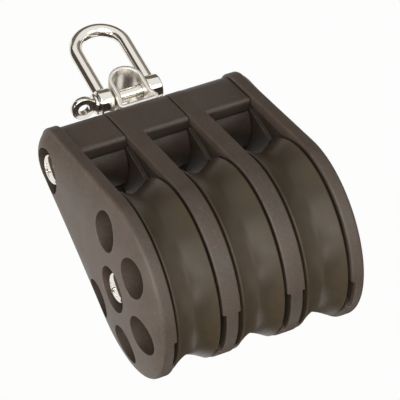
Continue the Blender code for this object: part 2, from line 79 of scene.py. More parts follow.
def node_centre(node):
    low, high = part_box(node)
    return (low + high) / 2


def node_half(node):
    low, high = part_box(node)
    return (high - low) / 2


# Places read from the solid model
AXLE_Z = node_centre("axle_tube").z
BOLT_Z = node_centre("head_tube").z
PITCH = node_centre("sheave_right").x
SHEAVE_R = node_half("sheave_right").z
HUB_HALF = node_half("sheave_right").x
TUBE_HALF = node_half("axle_tube").x
TUBE_R = node_half("axle_tube").z
CHEEK_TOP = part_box("cheek_right")[1].x
PIN_Z = node_centre("shackle_pin").z
EYE_R = node_half("shackle_bow").y
BOW_HALF = node_half("shackle_bow").x
STRAP_LOW, STRAP_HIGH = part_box("head_strap")
CHEEK_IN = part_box("cheek_right")[0].x
SPACER_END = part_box("cheek_left")[1].x
DIVIDER_LEFT_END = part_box("divider_left")[1].x
DIVIDER_RIGHT_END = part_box("divider_right")[1].x
SCREW_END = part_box("axle_screw_right")[0].x
SCREW_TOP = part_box("axle_screw_right")[1].x
SCREW_HEAD_R = node_half("axle_screw_right").y
PIN_LOW, PIN_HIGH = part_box("shackle_pin")

# The clearance between pieces, and how far a cut reaches that goes right through
GAP = 0.0003
FAR = 0.2
MM = 0.001

# Points closer than this are one, in a finished piece and at the axis of a turned one
WELD = 2e-6
AXIS_WELD = 1e-7

# Degrees between faces from which an edge is shaded sharp
BODY_SHARP = 38
SHEAVE_SHARP = 30
STEEL_SHARP = 32
STRIP_SHARP = 40
HIDDEN_SHARP = 35


def linear(code):
    """Linear colour of an sRGB hex value such as "#3A322D"."""
    channels = [int(code[i : i + 2], 16) / 255 for i in (1, 3, 5)]
    return tuple(c / 12.92 if c <= 0.04045 else ((c + 0.055) / 1.055) ** 2.4 for c in channels)


def length(name, description, default):
    """A size for the panel."""
    return bpy.props.FloatProperty(
        name=name, description=description, default=default, min=0.0, unit="LENGTH", precision=5
    )


def colour(name, description, code):
    """A colour for the panel."""
    return bpy.props.FloatVectorProperty(
        name=name, description=description, default=linear(code), size=3, subtype="COLOR",
        min=0.0, max=1.0,
    )


class BodySizes(bpy.types.PropertyGroup):
    """Sizes of the moulded body"""

    head_rise: length("Head Rise", "Height of the head's centre above the axle", 0.0595)
    head_r: length("Head Radius", "Radius of the plates' outline round the head", 0.0122)
    rim_r: length("Rim Radius", "Radius of the plates' outline round the axle", 0.0334)
    proud: length("Cheek Proud", "How far the outer cheeks stand out past the plates", 0.0009)
    plate: length("Plate", "Thickness of a divider between its lips", 0.0042)
    lip: length("Lip", "Height of the lip beside a sheave", 0.0013)
    lip_band: length("Lip Band", "Width of that lip along the plate's edge", 0.0034)
    edge: length("Edge", "Rounding of the plates' edges", 0.0007)
    rim_w: length("Rim Width", "Width of the outer cheek's edge", 0.0049)
    rim_edge: length("Rim Edge", "Rounding between the outer cheek's edge and its dome", 0.0013)
    hole_ring: length("Hole Ring", "Distance of the lightening holes from the axle", 0.0219)
    hole_r: length("Hole Radius", "Radius of a lightening hole", 0.00745)
    sink_r: length("Sink Radius", "Radius of the counterbore round a screw", 0.0087)
    ledge: length("Ledge", "Height of the spacers' lower edge above the axle", 0.0486)
    boss_r: length("Boss Radius", "Radius of the spacer's boss round the head tube", 0.0125)


class SheaveSizes(bpy.types.PropertyGroup):
    """Sizes of a sheave"""

    throat_r: length("Throat Radius", "Radius at the bottom of the rope groove", 0.0296)
    width: length("Width", "Width over the flanges", 0.0173)
    flange: length("Flange", "Thickness of a flange at its rim", 0.0012)
    web_depth: length("Web Depth", "How far the web lies under the flange", 0.0012)
    web_r: length("Web Radius", "Outer radius of the web", 0.0295)
    hub_r: length("Hub Radius", "Radius of the hub", 0.0105)
    bore_r: length("Bore Radius", "Radius of the hole for the bush", 0.0078)


class SteelSizes(bpy.types.PropertyGroup):
    """Sizes of the shackle, the strap and the screws"""

    wire_r: length("Wire Radius", "Radius of the bow's wire", 0.0025)
    eye_w: length("Eye Width", "Width of the eye on a leg of the bow", 0.0056)
    pin_r: length("Pin Radius", "Radius of the shackle pin", 0.0025)
    collar_r: length("Collar Radius", "Radius of the pin's collar", 0.0040)
    collar_w: length("Collar Width", "Width of the pin's collar", 0.0013)
    lug_t: length("Lug Thickness", "Thickness of the pin's thumb lug", 0.0024)
    lug_hole_r: length("Lug Hole Radius", "Radius of the hole in the thumb lug", 0.0023)
    strip: length("Strip", "Thickness of the strap's strip", 0.0015)
    leg_half: length("Leg Half Width", "Half the width over the strap's legs", 0.0066)
    foot_half: length("Foot Half Width", "Half the width over the strap's feet", 0.0092)
    flare_h: length("Flare Height", "Height over which the legs flare out", 0.0054)
    head_h: length("Screw Head Height", "Height of a screw's pan head", 0.0038)


class FinishColours(bpy.types.PropertyGroup):
    """Colours of the materials"""

    nylon: colour("Nylon", "Main tone of the moulded body", "#463A30")
    # This paler tone is used for the scuffs, which are wear, and for a highlight painted along
    # every edge
    nylon_scuff_and_edge_highlight: colour("Scuffed and Highlit Nylon", "Tone of its scuffs and of the highlight painted on its edges", "#75685B")
    acetal: colour("Acetal", "Main tone of the sheaves", "#453B2D")
    steel: colour("Steel", "Tone of the polished stainless steel", "#E8E4DC")
    bush: colour("Bush", "Tone of the natural acetal bushes", "#CFC9BD")
    floor: colour("Floor", "Tone of the studio floor", "#F4F3F1")


# Meshes


def mesh_object(name, bm):
    """A new piece made of the given mesh."""
    bmesh.ops.recalc_face_normals(bm, faces=bm.faces)
    mesh = bpy.data.meshes.new(name)
    bm.to_mesh(mesh)
    bm.free()
    obj = bpy.data.objects.new(name, mesh)
    bpy.context.scene.collection.objects.link(obj)
    return obj


def arc(centre, radius, start, end, count):
    """Points on an arc from one angle to another in degrees, both ends included."""
    spots = []
    for i in range(count):
        angle = math.radians(start + (end - start) * i / (count - 1))
        spots.append((centre[0] + radius * math.cos(angle), centre[1] + radius * math.sin(angle)))
    return spots


def between(a, b, count):
    """Points strictly between two points."""
    return [
        (a[0] + (b[0] - a[0]) * i / (count + 1), a[1] + (b[1] - a[1]) * i / (count + 1))
        for i in range(1, count + 1)
    ]


def pear(low_z, low_r, high_z, high_r, low_count=97, high_count=33, side_count=14):
    """The outline round a large circle and a smaller one above it, with points on its flanks."""
    lean = math.degrees(math.asin((low_r - high_r) / (high_z - low_z)))
    head = arc((0, high_z), high_r, lean, 180 - lean, high_count)
    foot = arc((0, low_z), low_r, 180 - lean, 360 + lean, low_count)
    return head + between(head[-1], foot[0], side_count) + foot + between(
        foot[-1], head[0], side_count
    )


def flank(z, low_z, low_r, high_z, high_r):
    """Half the outline's width at a height on its straight flank."""
    lean = math.asin((low_r - high_r) / (high_z - low_z))
    return low_r / math.cos(lean) - (z - low_z) * math.tan(lean)


def fillet(before, corner, after, radius, count=7):
    """Points that round one corner of an outline."""
    ax, ay = before[0] - corner[0], before[1] - corner[1]
    bx, by = after[0] - corner[0], after[1] - corner[1]
    al, bl = math.hypot(ax, ay), math.hypot(bx, by)
    ax, ay, bx, by = ax / al, ay / al, bx / bl, by / bl
    half = math.acos(max(-1.0, min(1.0, ax * bx + ay * by))) / 2
    reach = radius / math.tan(half)
    mx, my = ax + bx, ay + by
    ml = math.hypot(mx, my)
    cx = corner[0] + mx / ml * radius / math.sin(half)
    cy = corner[1] + my / ml * radius / math.sin(half)
    start = math.atan2(corner[1] + ay * reach - cy, corner[0] + ax * reach - cx)
    end = math.atan2(corner[1] + by * reach - cy, corner[0] + bx * reach - cx)
    turn = (end - start + math.pi) % (2 * math.pi) - math.pi
    return [
        (cx + radius * math.cos(start + turn * i / (count - 1)),
         cy + radius * math.sin(start + turn * i / (count - 1)))
        for i in range(count)
    ]


def bridge(bm, one, two, closed=True):
    """Faces between two rows of as many vertices."""
    count = len(one)
    for i in range(count if closed else count - 1):
        j = (i + 1) % count
        bm.faces.new((one[i], one[j], two[j], two[i]))


def capped(name, bm, loops):
    """A closed solid through loops of vertices."""
    for one, two in zip(loops, loops[1:]):
        bridge(bm, one, two)
    bm.faces.new(loops[0])
    bm.faces.new(loops[-1])
    return mesh_object(name, bm)


def loft(name, rings):
    """A closed solid through rings of (outline, x), each outline holding as many (y, z) points."""
    bm = bmesh.new()
    loops = [[bm.verts.new((x, y, z)) for y, z in outline] for outline, x in rings]
    return capped(name, bm, loops)


def prism(name, outline, low, high):
    """An outline in Y and Z, run along X between two stations."""
    return loft(name, [(outline, low), (outline, high)])


def turned(name, profile, steps, closed=True):
    """A profile of (radius, distance) swept round the X axis."""
    bm = bmesh.new()
    loops = []
    for i in range(steps):
        angle = 2 * math.pi * i / steps
        c, s = math.cos(angle), math.sin(angle)
        loops.append([bm.verts.new((x, r * c, r * s)) for r, x in profile])
    for i in range(steps):
        bridge(bm, loops[i], loops[(i + 1) % steps], closed)
    bmesh.ops.remove_doubles(bm, verts=bm.verts, dist=AXIS_WELD)
    return mesh_object(name, bm)


def rod(name, radius, low, high, centre, axis="X", steps=64):
    """A round bar between two stations along X or Z."""
    obj = turned(name, [(0.0, low), (radius, low), (radius, high), (0.0, high)], steps, False)
    if axis == "Z":
        obj.data.transform(Matrix.Rotation(-math.pi / 2, 4, "Y"))
    obj.data.transform(Matrix.Translation(centre))
    return obj


def cuboid(name, low, high):
    """A box between two corners."""
    bm = bmesh.new()
    bmesh.ops.create_cube(bm, size=1.0)
    bm.transform(Matrix.Diagonal([b - a for a, b in zip(low, high)] + [1.0]))
    bm.transform(Matrix.Translation([(a + b) / 2 for a, b in zip(low, high)]))
    return mesh_object(name, bm)


def settle(obj):
    """Replaces the modifiers by the mesh they give."""
    bpy.context.view_layer.update()
    graph = bpy.context.evaluated_depsgraph_get()
    mesh = bpy.data.meshes.new_from_object(obj.evaluated_get(graph))
    obj.modifiers.clear()
    obj.data = mesh


def combine(obj, others, operation="DIFFERENCE"):
    """Cuts the others from a piece or joins them to it, and removes them."""
    for other in others:
        step = obj.modifiers.new(other.name, "BOOLEAN")
        step.operation = operation
        step.solver = "EXACT"
        step.object = other
    settle(obj)
    for other in others:
        bpy.data.objects.remove(other, do_unlink=True)
    return obj


def finish_piece(obj, node, material, sharp):
    """Shades a piece, puts it in the place of its node and gives it that node's body."""
    bm = bmesh.new()
    bm.from_mesh(obj.data)
    bmesh.ops.remove_doubles(bm, verts=bm.verts, dist=WELD)
    bm.to_mesh(obj.data)
    bm.free()
    obj.data.shade_smooth()
    obj.data.set_sharp_from_angle(angle=math.radians(sharp))
    obj.data.materials.clear()
    obj.data.materials.append(material)
    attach(obj, frame["nodes"][node]["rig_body"])
    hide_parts(node)


# Materials

# Most of a noise pattern's values lie between these two.
NOISE_LOW, NOISE_HIGH = 0.3, 0.7


def add(tree, kind, sockets=None, **settings):
    """Adds a node with its settings, socket values and links."""
    node = tree.nodes.new(kind)
    for key, value in settings.items():
        setattr(node, key, value)
    for key, value in (sockets or {}).items():
        if isinstance(value, bpy.types.NodeSocket):
            tree.links.new(value, node.inputs[key])
        else:
            node.inputs[key].default_value = value
    return node


def new_material(name):
    """An empty material with its node tree and the piece's own coordinates in metres."""
    material = bpy.data.materials.new(name)
    material.use_nodes = True
    tree = material.node_tree
    tree.nodes.clear()
    return material, tree, add(tree, "ShaderNodeTexCoord").outputs["Object"]


def noise(tree, place, size, detail=2.0, roughness=0.5):
    """A cloudy pattern with patches of about this size."""
    node = add(
        tree, "ShaderNodeTexNoise",
        {"Vector": place, "Scale": 1 / size, "Detail": detail, "Roughness": roughness},
    )
    return node.outputs["Fac"]


def drawn_out(tree, place, scale):
    """Coordinates that stretch a pattern along each axis whose scale is under 1."""
    return add(tree, "ShaderNodeMapping", {"Vector": place, "Scale": scale}).outputs[0]


def remap(tree, value, low, high, start=NOISE_LOW, end=NOISE_HIGH):
    """A value brought from one range to another."""
    node = add(
        tree, "ShaderNodeMapRange",
        {"Value": value, "From Min": start, "From Max": end, "To Min": low, "To Max": high},
    )
    return node.outputs["Result"]


def larger(tree, one, two):
    """The larger of two values."""
    return add(tree, "ShaderNodeMath", {0: one, 1: two}, operation="MAXIMUM").outputs[0]


def mottled(tree, pattern, tone, low, high):
    """A tone that a pattern varies between two shares of its brightness."""
    node = add(tree, "ShaderNodeValToRGB", {"Fac": pattern})
    first, second = node.color_ramp.elements
    first.position = NOISE_LOW
    first.color = (*(min(1.0, c * low) for c in tone), 1.0)
    second.position = NOISE_HIGH
    second.color = (*(min(1.0, c * high) for c in tone), 1.0)
    return node.outputs["Color"]


def rounded_normal(tree, radius):
    """The normal as if edges were rounded by this much."""
    return add(tree, "ShaderNodeBevel", {"Radius": radius}, samples=6).outputs[0]


def edge_mask(tree, rounded):
    """How near a surface point is to an edge: 0 on flats, more where the normals turn."""
    # The cosine between the two normals falls from 1 to about 0.8 at an edge.
    true = add(tree, "ShaderNodeNewGeometry").outputs["Normal"]
    dot = add(tree, "ShaderNodeVectorMath", {0: rounded, 1: true}, operation="DOT_PRODUCT")
    return remap(tree, dot.outputs["Value"], 0.0, 1.0, 1.0, 0.80)


def bumped(tree, height, normal, strength, depth):
    """The normal with a pattern raised on it."""
    node = add(
        tree, "ShaderNodeBump",
        {"Height": height, "Normal": normal, "Strength": strength, "Distance": depth},
    )
    return node.outputs[0]


def shade(tree, sockets):
    """The surface shader with these sockets, joined to the material's output."""
    shader = add(tree, "ShaderNodeBsdfPrincipled", sockets)
    add(tree, "ShaderNodeOutputMaterial", {"Surface": shader.outputs[0]})


def glass_filled_nylon(colours):
    """Nylon with glass fibre, injection moulded: a satin brown-black with a fine spark-eroded
    grain, a faint cloudiness from the fibres and pale scuffs, and a highlight painted along every
    edge."""
    material, tree, place = new_material("glass_filled_nylon_moulded")
    # Clouds of fibre are about 9 mm across.
    cloud = noise(tree, place, 9 * MM, 3.0)
    # The grain is really 0.1 mm and too fine to show, so it is drawn at 0.45 mm.
    grain = noise(tree, place, 0.45 * MM)
    # Rope and deck leave pale scuffs, about 2 mm long, that lie along the line of pull.
    scuffs = noise(tree, drawn_out(tree, place, (1.0, 1.0, 0.25)), 0.6 * MM, 4.0, 0.65)
    rubbed = remap(tree, scuffs, 0.0, 0.45, 0.50, 0.85)
    rounded = rounded_normal(tree, 0.35 * MM)
    # A highlight is painted in the paler tone along every edge; the scuffs are wear in the same
    # tone
    scuffs_and_edge_highlight = larger(tree, edge_mask(tree, rounded), rubbed)
    tone = mottled(tree, cloud, colours.nylon, 0.86, 1.14)
    mixed = add(
        tree, "ShaderNodeMix", {"Factor": scuffs_and_edge_highlight, 6: tone, 7: (*colours.nylon_scuff_and_edge_highlight, 1.0)},
        data_type="RGBA",
    )
    shade(tree, {
        "Base Color": mixed.outputs[2],
        "Roughness": remap(tree, cloud, 0.48, 0.58),
        "IOR": 1.53,
        "Normal": bumped(tree, grain, rounded, 0.16, 0.06 * MM),
    })
    return material


def turned_acetal(colours):
    """Black acetal, moulded and skimmed on a lathe: smoother than the body, with faint rings round
    the groove that stretch a highlight along it."""
    material, tree, place = new_material("acetal_black_turned")
    cloud = noise(tree, place, 7 * MM, 3.0)
    # Tool marks are 0.1 mm apart and are drawn at 0.6 mm, so that they show.
    rings = noise(tree, drawn_out(tree, place, (1.0, 0.02, 0.02)), 0.6 * MM, 3.0)
    shade(tree, {
        "Base Color": mottled(tree, cloud, colours.acetal, 0.88, 1.12),
        "Roughness": remap(tree, rings, 0.28, 0.40),
        "IOR": 1.48,
        "Specular IOR Level": 0.32,
        "Normal": bumped(tree, rings, rounded_normal(tree, 0.25 * MM), 0.12, 0.05 * MM),
    })
    return material


def polished_stainless(colours):
    """Marine stainless steel, forged and tumble polished: mirror bands of light and dark with a
    slight waviness and hair scratches."""
    material, tree, place = new_material("stainless_steel_polished")
    # Tumbling leaves waves about 3 mm long.
    waves = noise(tree, place, 3 * MM, 1.0)
    marks = noise(tree, place, 0.4 * MM, 3.0)
    shade(tree, {
        "Base Color": mottled(tree, marks, colours.steel, 0.94, 1.04),
        "Metallic": 1.0,
        "Roughness": remap(tree, marks, 0.06, 0.14),
        "Normal": bumped(tree, waves, rounded_normal(tree, 0.2 * MM), 0.10, 0.05 * MM),
    })
    return material


def satin_stainless(colours):
    """Stainless strip as it leaves the rolls, bent and left satin: it spreads what a mirror would
    show into soft greys, with a fine grain along the strip."""
    material, tree, place = new_material("stainless_strip_satin")
    # Rolling marks are 0.05 mm apart and are drawn at 0.3 mm, so that they show.
    grain = noise(tree, drawn_out(tree, place, (0.15, 1.0, 0.15)), 0.3 * MM)
    shade(tree, {
        "Base Color": mottled(tree, grain, colours.steel, 1.02, 1.12),
        "Metallic": 1.0,
        "Roughness": remap(tree, grain, 0.30, 0.38),
        "Normal": bumped(tree, grain, rounded_normal(tree, 0.25 * MM), 0.05, 0.02 * MM),
    })
    return material


def natural_acetal(colours):
    """Natural acetal, turned: the milky white of a plain bearing, slightly waxy."""
    material, tree, place = new_material("acetal_natural_turned")
    tone = mottled(tree, noise(tree, place, 4 * MM), colours.bush, 0.95, 1.03)
    shade(tree, {"Base Color": tone, "Roughness": 0.38, "IOR": 1.48})
    return material


MAKERS = {
    "glass_filled_nylon_moulded": glass_filled_nylon,
    "acetal_black_turned": turned_acetal,
    "stainless_steel_polished": polished_stainless,
    "stainless_strip_satin": satin_stainless,
    "acetal_natural_turned": natural_acetal,
}


def finish(name):
    """The material of that name, made once from the colours in the panel."""
    return bpy.data.materials.get(name) or MAKERS[name](bpy.context.scene.block_colours)


# The moulded body

# How far the spacers lie under the plates' outline
FLUSH = 0.1 * MM

# The ledge below the head: the shelf's height over it, its wall and its rounding
SHELF_UP = 0.8 * MM
LEDGE_WALL = 5.5 * MM
LEDGE_ROUND = 1.6 * MM

# The pad over a sheave, and the degrees below the axle at which a plate's lip stops
PAD_HALF = 11 * MM
PAD_OVER = 1.4 * MM
CHEEK_LIP_STOP = 78
DIVIDER_LIP_STOP = 72

# An outer cheek's rounded rim and the dome that rises from it
ROUND_STEPS = 5
RIM_STEPS = 7
RIM_TURN = math.radians(74)
DOME_STEPS = 18
DOME_REACH = 0.97
DOME_SPACING = 1.25
DOME_POWER = 3.6

# Six places round the axle, and the top one has no hole
HOLE_PLACES = 6

# The pocket for the stem's eye and the hole for its shank
SEAT_HALF = 2.3 * MM
STEM_BORE_R = 3.3 * MM


def head_z(sizes):
    """Height of the head's centre."""
    return AXLE_Z + sizes.head_rise


def channel_outline(sizes):
    """What is cut away below the head so that the sheave and its rope have room."""
    low_r, high_r = sizes.rim_r - FLUSH, sizes.head_r - FLUSH
    ledge_z = AXLE_Z + sizes.ledge
    shelf_z, wall_z = ledge_z + SHELF_UP, ledge_z + LEDGE_WALL
    half = flank(ledge_z, AXLE_Z, low_r, head_z(sizes), high_r)
    above = flank(wall_z, AXLE_Z, low_r, head_z(sizes), high_r)
    inner = half - LEDGE_WALL
    boss_half = math.sqrt(sizes.boss_r**2 - (BOLT_Z - shelf_z) ** 2)
    lean = math.degrees(math.atan2(shelf_z - BOLT_Z, boss_half))
    right = fillet((above, wall_z), (half, ledge_z), (inner, ledge_z), LEDGE_ROUND)
    left = [(-y, z) for y, z in reversed(right)]
    boss = arc((0, BOLT_Z), sizes.boss_r, lean, -180 - lean, 41)
    top = [(FAR, right[0][1])] + right + [(inner, ledge_z), (inner - SHELF_UP, shelf_z)]
    top += boss + [(SHELF_UP - inner, shelf_z), (-inner, ledge_z)] + left + [(-FAR, left[-1][1])]
    return top + [(-FAR, AXLE_Z - FAR), (FAR, AXLE_Z - FAR)]


def pocket_outline(sizes, stop):
    """The hollow beside a sheave, inside the lip, which stops at an angle below the axle."""
    low_r, high_r = sizes.rim_r - sizes.lip_band, sizes.head_r - sizes.lip_band
    top_z = AXLE_Z + sizes.ledge
    lean = math.degrees(math.asin((low_r - high_r) / sizes.head_rise))
    side = arc((0, AXLE_Z), low_r, -stop, lean, 49)
    side += [(flank(top_z, AXLE_Z, low_r, head_z(sizes), high_r), top_z), (PAD_HALF, top_z)]
    pad_r = SHEAVE_R + PAD_OVER
    pad = math.degrees(math.acos(PAD_HALF / pad_r))
    over = arc((0, AXLE_Z), pad_r, pad, 180 - pad, 17)
    other = [(-y, z) for y, z in reversed(side)]
    angle = math.radians(stop)
    out, down = FAR * math.cos(angle), AXLE_Z - FAR * math.sin(angle)
    return side + over + other + [(-out, down), (out, down)]


def rounded_plate(name, sizes, low, high, inset=0.0):
    """A pear-shaped plate with rounded edges."""
    rings = []
    edge = sizes.edge
    for along, turn in ((low, -1), (high, 1)):
        steps = []
        for i in range(ROUND_STEPS + 1):
            angle = math.pi / 2 * i / ROUND_STEPS
            sunk, inward = edge * (1 - math.cos(angle)), edge * (math.sin(angle) - 1)
            steps.append((sunk, along + turn * inward))
        rings += steps[::-1] if turn < 0 else steps
    made = []
    for sunk, x in rings:
        outline = pear(
            AXLE_Z, sizes.rim_r - inset - sunk, head_z(sizes), sizes.head_r - inset - sunk
        )
        made.append((outline, x))
    return loft(name, made)


def land(name):
    """What is cut off the head's top so that the strap can turn on a flat."""
    return cuboid(name, (-FAR, -FAR, STRAP_LOW.z - GAP), (FAR, FAR, STRAP_LOW.z + FAR))


def spacer(name, sizes, start, end):
    """The block of the head that keeps two plates apart, with its underside shaped."""
    obj = rounded_plate(name, sizes, start, end, FLUSH)
    return combine(obj, [prism(name + "_channel", channel_outline(sizes), start - MM, end + MM)])


def bolt_bores(low, high):
    """The holes for both tubes."""
    return [
        rod(f"{place}_bore", TUBE_R + GAP, low, high, (0, 0, height), steps=48)
        for place, height in (("axle", AXLE_Z), ("head", BOLT_Z))
    ]


def outer_cheek_rings(sizes, side):
    """Sections of an outer cheek from its inner edge over its rounded rim to its crown."""
    low_r, high_r = sizes.rim_r + sizes.proud, sizes.head_r + sizes.proud
    edge, rim_edge = sizes.edge, sizes.rim_edge
    rim_x = CHEEK_IN + sizes.rim_w
    rings = []
    for i in range(ROUND_STEPS + 1):
        angle = math.pi / 2 * i / ROUND_STEPS
        rings.append((edge * (1 - math.sin(angle)), CHEEK_IN + edge * (1 - math.cos(angle))))
    for i in range(RIM_STEPS + 1):
        angle = RIM_TURN * i / RIM_STEPS
        rings.append((rim_edge * (1 - math.cos(angle)), rim_x - rim_edge * (1 - math.sin(angle))))
    made = [(pear(AXLE_Z, low_r - a, head_z(sizes), high_r - a), side * x) for a, x in rings]
    start_a, start_x = rings[-1]
    dome = CHEEK_TOP - start_x
    for i in range(1, DOME_STEPS + 1):
        scale = 1 - DOME_REACH * (i / DOME_STEPS) ** DOME_SPACING
        x = start_x + dome * (1 - scale**DOME_POWER)
        made.append((
            pear(AXLE_Z, (low_r - start_a) * scale, head_z(sizes), (high_r - start_a) * scale),
            side * x,
        ))
    return made


def outer_cheek(name, sizes, side):
    """An outer cheek with its dome, holes, counterbores and lip, and on the left its spacer."""
    obj = loft(name, outer_cheek_rings(sizes, side))
    low, high = sorted((side * (CHEEK_IN - sizes.lip), side * (CHEEK_IN + sizes.lip)))
    cuts = [prism(name + "_pocket", pocket_outline(sizes, CHEEK_LIP_STOP), low, high)]
    if side < 0:
        combine(obj, cuts)
        beside = spacer(name + "_spacer", sizes, -CHEEK_IN - sizes.lip, SPACER_END)
        combine(beside, [land(name + "_land")])
        combine(obj, [beside], "UNION")
        cuts = []
    low, high = sorted((side * CHEEK_IN, side * (CHEEK_TOP + MM)))
    for i in range(1, HOLE_PLACES):
        angle = math.radians(90 + 360 / HOLE_PLACES * i)
        y, z = sizes.hole_ring * math.cos(angle), sizes.hole_ring * math.sin(angle)
        cuts.append(rod(f"{name}_hole_{i}", sizes.hole_r, low, high, (0, y, AXLE_Z + z), steps=72))
    low, high = sorted((side * TUBE_HALF, side * (CHEEK_TOP + MM)))
    for height in (AXLE_Z, BOLT_Z):
        cuts.append(rod(name + "_sink", sizes.sink_r, low, high, (0, 0, height), steps=72))
    low, high = sorted((0.0, side * (CHEEK_TOP + MM)))
    return combine(obj, cuts + bolt_bores(low, high))


def divider(name, sizes, x, end):
    """A plate between two sheaves, moulded with the head spacer on its right."""
    half = sizes.plate / 2 + sizes.lip
    obj = rounded_plate(name, sizes, x - half, x + half)
    combine(obj, [spacer(name + "_spacer", sizes, x, end)], "UNION")
    hollow = pocket_outline(sizes, DIVIDER_LIP_STOP)
    cuts = [
        prism(name + "_left", hollow, x - half - MM, x - sizes.plate / 2),
        prism(name + "_right", hollow, x + sizes.plate / 2, x + half + MM),
        land(name + "_land"),
    ]
    return combine(obj, cuts + bolt_bores(x - half - MM, end + MM))


def cut_swivel_seat(obj):
    """The pocket round the stem's eye and the hole for its shank."""
    low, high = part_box("swivel_stem")
    radius = (high.y - low.y) / 2 + GAP
    pocket = rod("eye_pocket", radius, -SEAT_HALF, SEAT_HALF, (0, 0, BOLT_Z))
    bore = rod("stem_bore", STEM_BORE_R, BOLT_Z, STRAP_LOW.z + MM, (0, 0, 0), "Z", 32)
    return combine(obj, [pocket, bore])


class CheekOperator(bpy.types.Operator):
    """Model both outer cheeks, with the left head spacer"""

    bl_idname = "triple_block.outer_cheeks"
    bl_label = "Outer Cheeks"

    def execute(self, context):
        sizes = context.scene.block_body
        nylon = finish("glass_filled_nylon_moulded")
        for node, side in (("cheek_left", -1), ("cheek_right", 1)):
            obj = outer_cheek(node + "_moulding", sizes, side)
            finish_piece(obj, node, nylon, BODY_SHARP)
        return {"FINISHED"}


class DividerOperator(bpy.types.Operator):
    """Model both plates between the sheaves, each with its head spacer"""

    bl_idname = "triple_block.dividers"
    bl_label = "Dividers"

    def execute(self, context):
        sizes = context.scene.block_body
        nylon = finish("glass_filled_nylon_moulded")
        left = divider("divider_left_moulding", sizes, -PITCH / 2, DIVIDER_LEFT_END)
        finish_piece(cut_swivel_seat(left), "divider_left", nylon, BODY_SHARP)
        right = divider("divider_right_moulding", sizes, PITCH / 2, DIVIDER_RIGHT_END)
        finish_piece(right, "divider_right", nylon, BODY_SHARP)
        return {"FINISHED"}


# The sheaves

# The hub's chamfer, the slope up to a flange, and the rounding of the flange's tip
HUB_CHAMFER = 0.3 * MM
WEB_SLOPE = 0.9 * MM
FLANGE_TIP = 0.7 * MM

# The rope groove's steps to each side of its bottom, and its curve
GROOVE_HALF_STEPS = 16
GROOVE_POWER = 1.5

# Steps round a sheave
SHEAVE_STEPS = 144


def sheave_profile(sizes):
    """Half section of a sheave: web and hub, rounded flange, then the rope groove."""
    half = sizes.width / 2
    mouth = half - sizes.flange
    depth = SHEAVE_R - sizes.throat_r
    side = [(sizes.bore_r, HUB_HALF), (sizes.hub_r - HUB_CHAMFER, HUB_HALF)]
    side += [(sizes.hub_r, HUB_HALF - HUB_CHAMFER), (sizes.hub_r, half - sizes.web_depth)]
    side += [(sizes.web_r, half - sizes.web_depth), (sizes.web_r + WEB_SLOPE, half)]
    side += arc((SHEAVE_R - FLANGE_TIP, mouth), FLANGE_TIP, 90, 0, 9)[:-1]
    groove = []
    for i in range(2 * GROOVE_HALF_STEPS + 1):
        t = 1 - i / GROOVE_HALF_STEPS
        groove.append((sizes.throat_r + depth * abs(t) ** GROOVE_POWER, mouth * t))
    other = [(r, -x) for r, x in reversed(side)]
    return side + groove + other


class SheaveOperator(bpy.types.Operator):
    """Model the three grooved sheaves"""

    bl_idname = "triple_block.sheaves"
    bl_label = "Sheaves"

    def execute(self, context):
        profile = sheave_profile(context.scene.block_sheave)
        acetal = finish("acetal_black_turned")
        for node in ("sheave_left", "sheave_middle", "sheave_right"):
            obj = turned(node + "_turned", profile, SHEAVE_STEPS)
            obj.location = node_centre(node)
            finish_piece(obj, node, acetal, SHEAVE_SHARP)
        return {"FINISHED"}


# The steel

# The bow: points on its crown, sides of its wire, the height over the pin's axis at which a leg
# ends inside its eye as a share of the eye's radius, and the rounding of the eye's edges
CROWN_POINTS = 41
WIRE_SIDES = 40
LEG_END = 0.45
EYE_ROUND = 0.9 * MM

# The pin and its thumb lug, which stops short of the collar and is turned on the pin
PIN_ROUND = 0.35 * MM
LUG_R = 4.6 * MM
LUG_NECK_R = 2.8 * MM
LUG_CLEAR = 0.3 * MM
LUG_ROUND = 0.5 * MM
LUG_STEPS = 8
LUG_TURN = math.radians(-10)

# The strap's flared feet, of which the lowest steps are part of the bend
FLARE_STEPS = 12
FLARE_FROM = 6
FLARE_POWER = 1.3
STRAP_BEND = 1.8 * MM
BASE_BORE_H = 4 * MM

# The strip's rounding, and how far its middle point lies in as a share of it
STRIP_ROUND = 0.3 * MM
CORNER_CUT = 0.3

# A screw's head: the share of its height that is rounded, and the curve of that part
CROWN_STEPS = 12
CROWN_H = 0.62
CROWN_WIDEN = 0.9
CROWN_FALL = 0.8
HEAD_CHAMFER = 0.2 * MM
SHANK_R = 3 * MM

# An arm of the cross recess: height, half length and half width at its mouth and at its floor
RECESS_ROWS = ((0.6 * MM, 3.6 * MM, 0.75 * MM), (-2.2 * MM, 1.2 * MM, 0.45 * MM))

# How far each screw was turned when it came tight, in degrees
SCREW_TURNS = {"axle_left": 20, "axle_right": 63, "head_left": 47, "head_right": 8}


def bow_path(sizes):
    """The wire's centre line: up one leg, over the crown and down the other."""
    half = BOW_HALF - sizes.eye_w / 2
    spring = sizes.wire_r - half
    foot = PIN_Z + EYE_R * LEG_END
    up = [(-half, foot)] + between((-half, foot), (-half, spring), 5)
    down = [(-x, z) for x, z in reversed(up)]
    return up + arc((0, spring), half, 180, 0, CROWN_POINTS) + down


def wire(name, path, radius):
    """A round bar along a path in the XZ plane."""
    bm = bmesh.new()
    loops = []
    for i, (x, z) in enumerate(path):
        before, after = path[max(i - 1, 0)], path[min(i + 1, len(path) - 1)]
        along = Vector((after[0] - before[0], 0, after[1] - before[1])).normalized()
        out = Vector((along.z, 0, -along.x))
        ring = []
        for k in range(WIRE_SIDES):
            angle = 2 * math.pi * k / WIRE_SIDES
            spot = out * math.cos(angle) + Vector((0, 1, 0)) * math.sin(angle)
            ring.append(bm.verts.new(Vector((x, 0, z)) + spot * radius))
        loops.append(ring)
    return capped(name, bm, loops)


